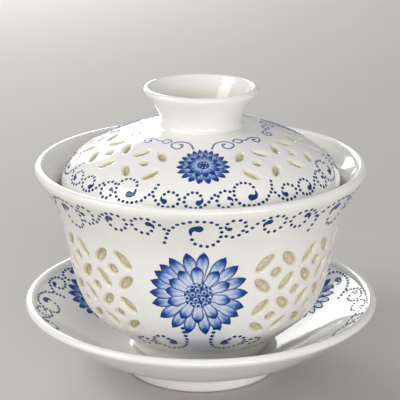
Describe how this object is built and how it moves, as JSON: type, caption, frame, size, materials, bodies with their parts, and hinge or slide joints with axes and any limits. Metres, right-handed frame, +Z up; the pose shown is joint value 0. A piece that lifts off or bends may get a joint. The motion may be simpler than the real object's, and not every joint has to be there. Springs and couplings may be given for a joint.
{
  "type": "gaiwan",
  "caption": "Lidded porcelain tea bowl on a saucer, pierced with glaze-filled rice-grain windows and painted with blue flowers and dotted scrolls.",
  "frame": {"origin": "centre of the saucer's foot, on the surface that it stands on", "axes": "+Z up along the axis of the saucer, the bowl and the lid; -Y is the front, where one painted flower faces; +X is to the right of the front"},
  "size_m": [0.1086, 0.1086, 0.0891],
  "materials": {
    "white_porcelain": "clear glossy glaze over white porcelain, with a slightly warm tint",
    "window_glaze": "thick clear glaze with a pale olive tint, glossy and translucent",
    "cobalt_underglaze": "cobalt blue painted under a clear glossy glaze",
    "biscuit_foot": "bare, unglazed porcelain, matt and slightly grainy"
  },
  "bodies": {
    "saucer": {"saucer_dish": "white_porcelain", "saucer_foot_ring": "white_porcelain"},
    "bowl": {"bowl_wall": "white_porcelain", "bowl_foot_ring": "white_porcelain", "bowl_window_glaze": "window_glaze"},
    "lid": {"lid_dome": "white_porcelain", "lid_knob_ring": "white_porcelain", "lid_window_glaze": "window_glaze"}
  },
  "joints": [
    {"name": "bowl_lift", "type": "slide", "parent": "saucer", "child": "bowl", "axis": [0, 0, 1], "range_m": [0, 0.07]},
    {"name": "lid_lift", "type": "slide", "parent": "bowl", "child": "lid", "axis": [0, 0, 1], "range_m": [0, 0.07]}
  ]
}
